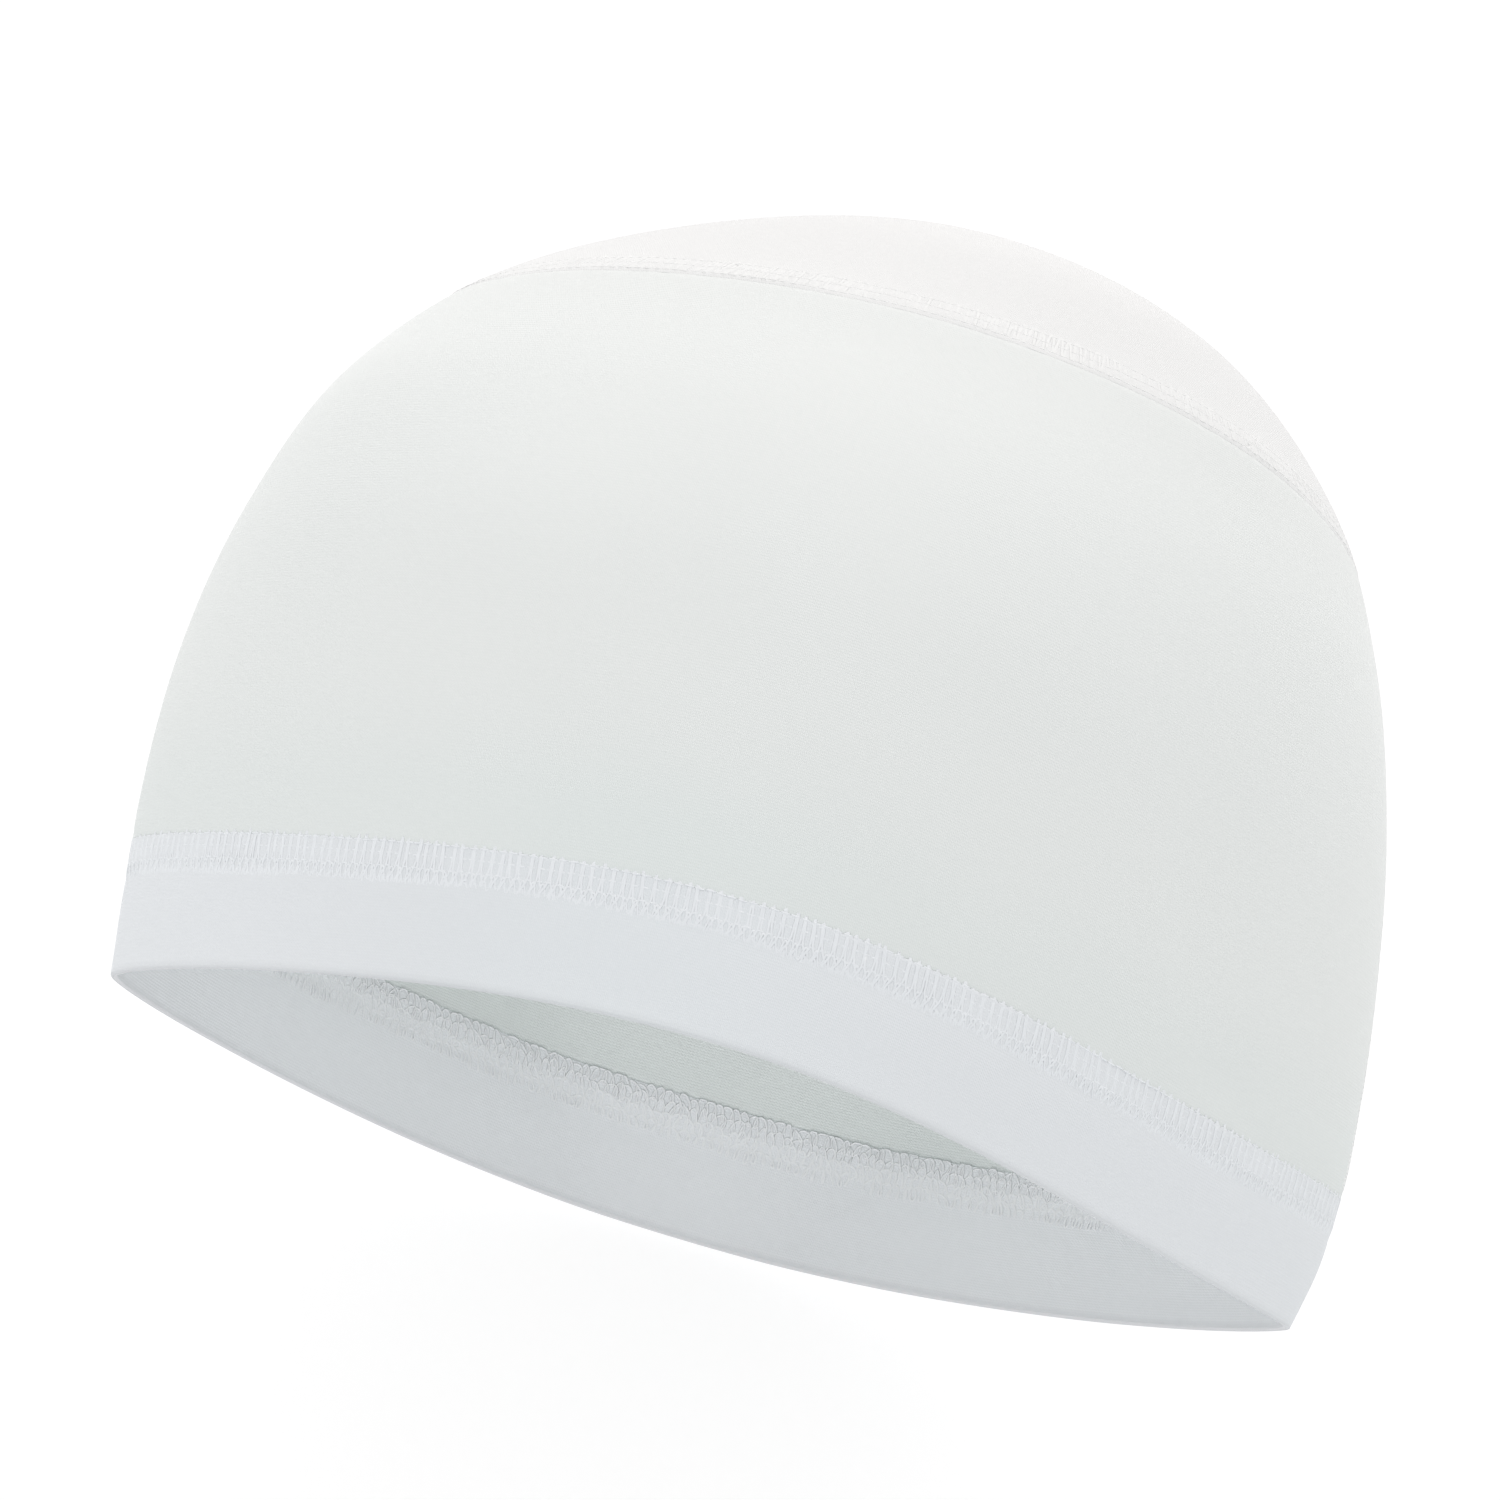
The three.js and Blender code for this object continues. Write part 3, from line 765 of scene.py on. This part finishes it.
def hem_cloth():
    """A strip folded double: its outer ply, the fold at the mouth, its inner ply, and the strip's own inner face."""
    n = 400
    a = columns(n, RIM)[:-1]
    top = along_angle(ARC_HEM, a) - CLOSE
    r = FOLD / 2
    ri = r - FOLD_PLY
    straight = np.concatenate([np.linspace(0, 0.92, 23), [0.94, 0.96, 0.98, 1.0]])
    turn = np.linspace(0, math.pi, 13)[1:-1]
    on, deep = cut_edge(SEWN_PLY)
    s_list, d_list, v_list = [], [], []
    end = top - CORNER
    # right side of the strip, from the raw edge outside, round the fold, up to the raw edge inside
    for v in 1 - straight[::-1]:
        s_list.append(end + (r - end) * v)
        d_list.append(np.zeros(n))
        v_list.append((end - r) * v)
    for t in turn:
        fs, fd = squared(t, r, r)
        s_list.append(np.full(n, fs))
        d_list.append(np.full(n, fd))
        v_list.append(end - r + r * t)
    for v in straight:
        s = r + (end - r) * v
        s_list.append(s)
        d_list.append(hem_thick(s, end))
        v_list.append(end - r + r * math.pi + (end - r) * v)
    outer_count = len(s_list)
    for o, d in zip(on, deep):
        s_list.append(end + o)
        d_list.append(np.full(n, SEWN - d))
        v_list.append(v_list[-1])
    for v in straight[::-1]:
        s = r + (end - r) * v
        s_list.append(s)
        d_list.append(hem_thick(s, end) - hem_ply(s, end))
        v_list.append(end - r + r * math.pi + (end - r) * v)
    for t in turn[::-1]:
        fs, fd = squared(t, ri, r)
        s_list.append(np.full(n, fs))
        d_list.append(np.full(n, fd))
        v_list.append(end - r + r * t)
    for v in 1 - straight:
        s = end + (r - end) * v
        s_list.append(s)
        d_list.append(hem_ply(s, end))
        v_list.append((end - r) * v)
    for o, d in zip(on, deep):
        s_list.append(end + o)
        d_list.append(np.full(n, SEWN_PLY - d))
        v_list.append(v_list[0])
    S, D, V = np.stack(s_list, 1), np.stack(d_list, 1), np.stack(v_list, 1)
    A = np.broadcast_to(a[:, None], S.shape)
    rel = relief_hem(A, S)
    # the fullness pushes the outer ply out and the inner ply in
    share = 1 - D / HEM_CLOTH
    P = section_points(A, S, D, rel * (share * 1.6 - 0.6))
    u = np.concatenate([RIM.distance(a), [RIM.length]])
    past_fold = V - (end - r + r * math.pi / 2)[:, None]
    V2 = np.concatenate([V, V[:1]])
    uv = np.stack([np.broadcast_to(u[:, None], V2.shape), V2], -1) * MM
    uv = np.concatenate([uv, uv[:, :1]], 1)
    ply = len(straight) + len(turn) // 2
    deg = np.degrees(A)
    # painted shade and light: the hem is painted darker along the fold at the mouth, against its highlight, and lighter
    # up the inner ply towards its sewn edge, against the shade inside the cap
    painted_light = (1 - 0.27 * np.exp(-((past_fold / 0.70) ** 2))) * (1 + 0.05 * ease(past_fold / 20) + 0.015 * ease((past_fold - 13) / 4))
    # painted shade along the fold of the far rim, against its highlight
    far_fold_shade = np.clip(np.minimum(deg - 184, 356 - deg) / 10, 0, 1)
    painted_light = painted_light * (1 - 0.07 * far_fold_shade * np.exp(-(((past_fold - 0.45) / 0.50) ** 2)))
    # painted light and shade round the cap: darker near 122 and 278 degrees, lighter near 222
    painted_light = painted_light * (1 - 0.025 * np.exp(-(((deg - 122) / 18) ** 2)) - 0.018 * np.exp(-(((deg - 278) / 16) ** 2)) + 0.028 * np.exp(-(((deg - 222) / 18) ** 2)))
    # painted cool light: a touch less red near 104 degrees
    painted_cool_light = 1 - 0.012 * np.exp(-(((deg - 104) / 20) ** 2))
    return sheet_grid(P, uv, True, (HEM_OUT, HEM_IN), "hem_cloth", (ply, outer_count), flip=False, painted_light=np.stack([painted_light * painted_cool_light, painted_light, painted_light], -1))


side = side_cloth()
crown = crown_cloth()
hem = hem_cloth()

# =====================================================================================================================
# Threads
# =====================================================================================================================
def on_cloth(angle, s, lift, which):
    """Points lift millimetres outside the cloth's outer face, minus being inside it, and the outward directions there."""
    d_hem = s - along_angle(ARC_HEM, angle)
    t = s - along_angle(ARC_SEAM, angle)
    if which == "hem":
        part = np.clip((d_hem + 0.4) / 0.8, 0, 1)
        rel = relief_hem(angle, s) * (1 - part) + relief_side(angle, s) * part
    elif which == "crown":
        part = np.clip((t + 0.2) / 0.4, 0, 1)
        rel = relief_side(angle, s) * (1 - part) + relief_crown(angle, t) * part
    else:
        rel = relief_side(angle, s)
    l = level_at(angle, s)
    n = outward(angle, l)
    return face(angle, l) + n * (rel + lift)[..., None], n


def pressed(p, radius):
    """Where the cap lies on the surface, a thread is pressed into the cloth."""
    p = p.copy()
    p[..., 2] = np.maximum(p[..., 2], radius + 0.02)
    return p


def needle_row(ring, s_of, count, which, lift, height, seed, slack=0.16, segments=6):
    """A row of straight stitches: each dips into the cloth at its two ends."""
    r = np.random.default_rng(seed)
    k = np.arange(count)
    t = np.linspace(0, 1, segments + 1)
    start = (k[:, None] + 0.04 + 0.92 * t[None, :]) / count * ring.length + r.normal(0, 0.03, (count, 1))
    a = ring.angle(start)
    s = s_of(a) + r.normal(0, 0.05, (count, 1)) + r.normal(0, 0.05, (count, 1)) * (t - 0.5)
    rise = lift + slack * (np.sin(t * math.pi)[None, :] - 1.0)
    p, n = on_cloth(a, s, np.broadcast_to(rise, a.shape), which)
    return pressed(p, height), n


def patches(count, across, seed):
    """A soft closed random line from 0 to 1, one value for each stitch, that changes over about `across` stitches."""
    v = np.random.default_rng(seed).random(max(3, int(round(count / across))))
    at = np.arange(count) / count * len(v)
    v = np.interp(at, np.arange(len(v) + 1), np.append(v, v[0]))
    return v * v * (3 - 2 * v)


def cross_thread(ring, s_low, s_high, count, which, shape, seed, jitter=0.05, per=14, phase=0.0, lean=0.0, inside=None, lift=0.0, sink=0.0):
    """A thread that runs back and forth across the seam, once for each stitch. shape is a list of (how far along the
    stitch, how far up the band, how far off the cloth) that one stitch passes through. inside, where given, is the
    depth of the inner face at an angle and cloth height, and the thread lies on that face. sink is how many
    millimetres the thread is bedded into the cloth in patches."""
    r = np.random.default_rng(seed)
    shape = np.array(shape, float)
    keys = len(shape)
    k = np.arange(count)
    up = shape[None, :, 1] + r.normal(0, jitter * 0.12, (count, 1)) * (shape[None, :, 1] - 0.3) + r.normal(0, jitter * 0.04, (count, keys))
    along = (k[:, None] + phase + shape[None, :, 0]) / count * ring.length + r.normal(0, jitter, (count, 1)) * shape[None, :, 1]
    along += r.normal(0, jitter * 0.15, (count, keys)) + lean * (up - 0.5)
    off = shape[None, :, 2] + np.abs(r.normal(0, 0.008, (count, keys))) - sink * patches(count, 6, seed + 300)[:, None]
    line = smooth_line(np.stack([along.ravel(), up.ravel(), off.ravel()], -1), per / keys, True, (ring.length, 0, 0))
    a = ring.angle(line[:, 0])
    lo, hi = s_low(a), s_high(a)
    s = lo + (hi - lo) * line[:, 1]
    if inside is None:
        return on_cloth(a, s, lift + line[:, 2], which)
    p, n = on_cloth(a, s, -(inside(a, s) + lift + line[:, 2]), which)
    return p, -n


def laid_round(name, lines, width, height, sides, material, pieces=8, smooth=True):
    paths = np.concatenate([chopped(pressed(p, height), pieces) for p, _ in lines])
    normals = np.concatenate([chopped(n, pieces) for _, n in lines])
    return tubes(name, paths, normals, width, height, sides, material, smooth)


def hem_stitching():
    """Outside of the hem: four needle rows, a cover thread whose two legs lie side by side in each upright stroke and
    part to cross their neighbours below, and a second one that runs in scallops across the lower part."""
    count = int(round(RIM.length / 1.75))
    top = lambda a: along_angle(ARC_HEM, a) + 0.45
    bottom = lambda a: along_angle(ARC_HEM, a) - 6.7
    strokes = [
        (-0.05, -0.02, -0.030), (-0.14, 0.02, -0.020), (-0.18, 0.09, -0.005), (-0.10, 0.16, 0.005), (0.06, 0.23, 0.012), (0.24, 0.32, 0.015),
        (0.36, 0.44, 0.015), (0.40, 0.60, 0.015), (0.405, 0.78, 0.018), (0.41, 0.92, 0.020), (0.45, 1.00, 0.020),
        (0.54, 1.00, 0.020), (0.58, 0.92, 0.020), (0.585, 0.78, 0.018), (0.59, 0.60, 0.015), (0.63, 0.44, 0.018),
        (0.76, 0.32, 0.024), (0.94, 0.23, 0.034), (1.10, 0.16, 0.024), (1.18, 0.09, 0.005), (1.14, 0.02, -0.020), (1.05, -0.02, -0.030),
    ]
    scallops = [(0.00, 0.03, -0.010), (0.17, 0.10, 0.010), (0.33, 0.28, 0.024), (0.50, 0.37, 0.026), (0.67, 0.28, 0.024), (0.83, 0.10, 0.010)]
    lines = [cross_thread(RIM, bottom, top, count, "hem", strokes, 41, jitter=0.26, per=30, phase=0.0, lean=0.10, sink=0.036)]
    cover = laid_round("hem_cover_stitch", lines, 0.24, 0.036, 6, THREAD)
    lines = [cross_thread(RIM, bottom, top, count, "hem", scallops, 42, jitter=0.14, per=15, phase=0.5, lean=0.10, sink=0.030)]
    second = laid_round("hem_scallop_stitch", lines, 0.20, 0.033, 6, THREAD)
    rows = []
    for i, (part, lift) in enumerate(((0.10, -0.03), (0.37, -0.01), (0.66, -0.01), (0.928, 0.030))):
        s_of = lambda a, part=part: along_angle(ARC_HEM, a) - 6.6 + 7.15 * part
        rows.append(needle_row(RIM, s_of, count, "hem", lift, 0.06, 50 + i, slack=0.05, segments=5))
    needles = tubes("hem_needle_stitch", np.concatenate([p for p, _ in rows]), np.concatenate([n for _, n in rows]), 0.19, 0.055, 5, THREAD)
    return cover, second, needles


def hem_inner_depth(a, s):
    top = along_angle(ARC_HEM, a)
    past = ease((s - top + 0.1) / 0.7)
    return hem_thick(s, top - CLOSE - CORNER) * (1 - past) + (CLOTH + 0.02) * past


ZIG = [
    (0.02, 0.07, -0.020), (0.09, 0.00, -0.026), (0.20, 0.00, -0.026), (0.27, 0.07, -0.018), (0.33, 0.30, -0.010), (0.40, 0.66, -0.008),
    (0.46, 0.93, -0.010), (0.52, 1.00, -0.020), (0.62, 1.00, -0.020), (0.68, 0.93, -0.010), (0.76, 0.66, -0.004), (0.91, 0.30, -0.004),
]


# the under thread's rows of loops: name of the piece, height of the row's middle over the hem's edge (mm), half its
# height (mm), how far round its stitch a loop swings, phase in stitches
LOOP_ROWS = [
    ("hem_looper_upper", -1.15, 1.20, 0.40, 0.00),
    ("hem_looper_upper", -3.05, 1.30, 0.36, 0.41),
    ("hem_looper_lower", -5.00, 1.30, 0.44, 0.17),
    ("hem_looper_lower", -6.95, 1.25, 0.38, 0.66),
]


def loop_row(middle, half, swing, phase, seed, per=10, sd=0.16):
    """A row of loops, each laid into the next, as the under thread of a flat seam makes them."""
    r = np.random.default_rng(seed)
    count = int(round(RIM.length / 1.5))
    t = np.arange(count * per) / per

    def uneven(size):
        v = r.normal(0, size, count)
        return np.interp(t, np.arange(count + 1), np.append(v, v[0]))

    turn = TAU * t
    along = (t + phase + swing * (1 + uneven(0.35)) * np.sin(turn + uneven(0.6))) / count * RIM.length + uneven(sd)
    up = middle + half * (1 + uneven(0.22)) * np.cos(turn) + uneven(sd)
    off = 0.002 + 0.008 * np.sin(turn)
    a = RIM.angle(along)
    s = along_angle(ARC_HEM, a) + np.minimum(up, 0.10)
    p, n = on_cloth(a, s, -(hem_inner_depth(a, s) + off), "hem")
    return p, -n


def hem_looping():
    """Inside of the hem: four rows of loops, one over each needle row, that run into each other."""
    lines = {}
    for i, (name, middle, half, swing, phase) in enumerate(LOOP_ROWS):
        lines.setdefault(name, []).append(loop_row(middle, half, swing, phase, 61 + i))
    # the lower rows have flat faces, whose sides don't turn dark as a round cord's do, so they fade into the hem
    return [
        laid_round("hem_looper_upper", lines["hem_looper_upper"], 0.19, 0.023, 5, LOOPER_PAINTED_LIGHTER),
        laid_round("hem_looper_lower", lines["hem_looper_lower"], 0.19, 0.044, 5, LOOPER_PAINTED_LIGHTER, smooth=False),
    ]


def crown_stitching():
    """On the crown side of the seam: three needle rows and a cover thread, and looper threads inside."""
    count = int(round(CROWN_RING.length / 1.7))
    low = lambda a: along_angle(ARC_SEAM, a) + 0.9
    high = lambda a: along_angle(ARC_SEAM, a) + 5.6
    ladder = [
        (0.00, 0.97, -0.010), (0.08, 0.76, -0.008), (0.16, 0.46, -0.008), (0.24, 0.16, -0.010), (0.32, 0.02, -0.022), (0.44, 0.02, -0.022),
        (0.51, 0.16, -0.006), (0.55, 0.46, 0.000), (0.60, 0.76, 0.000), (0.68, 0.97, -0.008), (0.80, 1.01, -0.014), (0.92, 1.01, -0.014),
    ]
    lines = [
        cross_thread(CROWN_RING, low, high, count, "crown", ladder, seed, jitter=0.14, per=18, phase=phase, lift=lift, sink=0.012)
        for seed, phase, lift in ((71, 0.0, -0.004),)
    ]
    cover = laid_round("crown_cover_stitch", lines, 0.29, 0.016, 8, CROWN_THREAD_PAINTED_DARKER)
    rows = []
    for i, up in enumerate((1.15, 3.2, 5.2)):
        s_of = lambda a, up=up: along_angle(ARC_SEAM, a) + up
        rows.append(needle_row(CROWN_RING, s_of, count, "crown", 0.0, 0.05, 80 + i, slack=0.04, segments=5))
    needles = tubes("crown_needle_stitch", np.concatenate([p for p, _ in rows]), np.concatenate([n for _, n in rows]), 0.14, 0.05, 5, CROWN_THREAD_PAINTED_DARKER)
    count = int(round(CROWN_RING.length / 2.4))
    depth = lambda a, s: np.full_like(s, CLOTH)
    low = lambda a: along_angle(ARC_SEAM, a) - 1.0
    lines = [
        cross_thread(CROWN_RING, low, high, count, "crown", ZIG, seed, jitter=0.14, per=15, phase=phase, lean=lean, inside=depth, lift=lift)
        for seed, phase, lean, lift in ((64, 0.0, 0.4, 0.0), (65, 0.5, 1.6, 0.01))
    ]
    looper = laid_round("crown_looper_stitch", lines, 0.20, 0.045, 6, LOOPER_PAINTED_LIGHTER)
    return cover, needles, looper


def back_stitching():
    """Flat seam that closes the side piece at the middle of the back: threads back and forth across the join."""
    s0, s1 = float(ARC_HEM[0]) + 1.2, float(ARC_SEAM[0]) - 0.4
    count = int(round((s1 - s0) / 2.0))
    shape = np.array([
        (0.03, -0.92, -0.012), (0.10, -0.98, -0.022), (0.20, -0.98, -0.022), (0.27, -0.90, -0.010), (0.31, -0.50, 0.000), (0.36, 0.35, 0.004),
        (0.41, 0.90, -0.006), (0.49, 0.98, -0.018), (0.60, 0.98, -0.018), (0.68, 0.90, -0.006), (0.76, 0.35, 0.006), (0.92, -0.50, 0.004),
    ])
    keys = len(shape)
    out, ns = [], []
    for seed, phase, lift in ((91, 0.0, 0.0), (92, 0.48, 0.006)):
        r = np.random.default_rng(seed)
        k = np.arange(count)
        s = s0 + (k[:, None] + phase + shape[None, :, 0]) * (s1 - s0) / (count + 0.5) + r.normal(0, 0.05, (count, 1)) * shape[None, :, 1]
        w = shape[None, :, 1] * 2.6 + r.normal(0, 0.08, (count, 1)) * np.abs(shape[None, :, 1]) + r.normal(0, 0.01, (count, keys))
        h = shape[None, :, 2] + lift + np.abs(r.normal(0, 0.003, (count, keys)))
        line = smooth_line(np.stack([s.ravel(), w.ravel(), h.ravel()], -1), 24 / keys, False, 0)
        s, w, h = line.T
        l = level_at(np.zeros_like(s), s)
        e = 0.02
        per = np.linalg.norm(face(np.full_like(l, e), l) - face(np.full_like(l, -e), l), axis=-1) / (2 * e)
        p, n = on_cloth(w / per, s, h, "side")
        out.append(p)
        ns.append(n)
    return tubes("back_cover_stitch", np.array(out), np.array(ns), 0.24, 0.034, 6, SIDE_THREAD)


cover, scallop, needles = hem_stitching()
looper, looper_lower = hem_looping()
crown_cover, crown_needles, crown_looper = crown_stitching()
back_cover = back_stitching()

# =====================================================================================================================
# What each piece is
# =====================================================================================================================
for piece in (side, crown, hem, cover, scallop, needles, looper, looper_lower, crown_cover, crown_needles, crown_looper, back_cover):
    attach(piece, "root")
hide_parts("side_panel")
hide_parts("crown_panel")
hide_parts("hem_band")

# =====================================================================================================================
# Floor and light
# =====================================================================================================================
def make_floor():
    me = bpy.data.meshes.new("floor")
    h = 4.0
    n = 8
    g = np.linspace(-h, h, n + 1)
    pts = [(x, y, -0.0001) for x in g for y in g]
    faces = [(i * (n + 1) + j, (i + 1) * (n + 1) + j, (i + 1) * (n + 1) + j + 1, i * (n + 1) + j + 1) for i in range(n) for j in range(n)]
    me.from_pydata(pts, [], faces)
    ob = bpy.data.objects.new("floor", me)
    scene.collection.objects.link(ob)
    m, nt, b = material("floor", (0.42, 0.42, 0.42), 0.9, specular=0.0)
    b.inputs["Emission Color"].default_value = (1.0, 1.0, 1.0, 1)
    b.inputs["Emission Strength"].default_value = 0.65
    me.materials.append(m)


def area_light(name, at, towards, size, power, colour):
    data = bpy.data.lights.new(name, "AREA")
    data.shape = "RECTANGLE"
    data.size, data.size_y = size
    data.energy = power
    data.color = colour
    ob = bpy.data.objects.new(name, data)
    scene.collection.objects.link(ob)
    ob.location = at
    direction = Vector(towards) - Vector(at)
    ob.rotation_mode = "QUATERNION"
    ob.rotation_quaternion = direction.to_track_quat("-Z", "Y")
    ob.visible_camera = False
    return ob


def make_light():
    world = bpy.data.worlds.new("studio")
    scene.world = world
    world.use_nodes = True
    nt = world.node_tree
    bg = nt.nodes["Background"]
    bg.inputs["Color"].default_value = (1.0, 1.0, 1.0, 1)
    bg.inputs["Strength"].default_value = 0.70
    centre = (0.0, 0.0, 0.07)
    area_light("key", (0.0, 1.7, 0.55), centre, (1.8, 0.8), 17.5, (1.0, 0.93, 0.915))
    area_light("fill", (0.0, -1.3, 1.2), centre, (1.6, 1.0), 7.1, (1.0, 0.965, 0.98))
    area_light("left", (-1.7, 0.0, 0.6), centre, (1.2, 0.9), 2.1, (1.0, 0.94, 0.92))


make_floor()
make_light()
scene.view_settings.view_transform = "Standard"
scene.view_settings.look = "None"
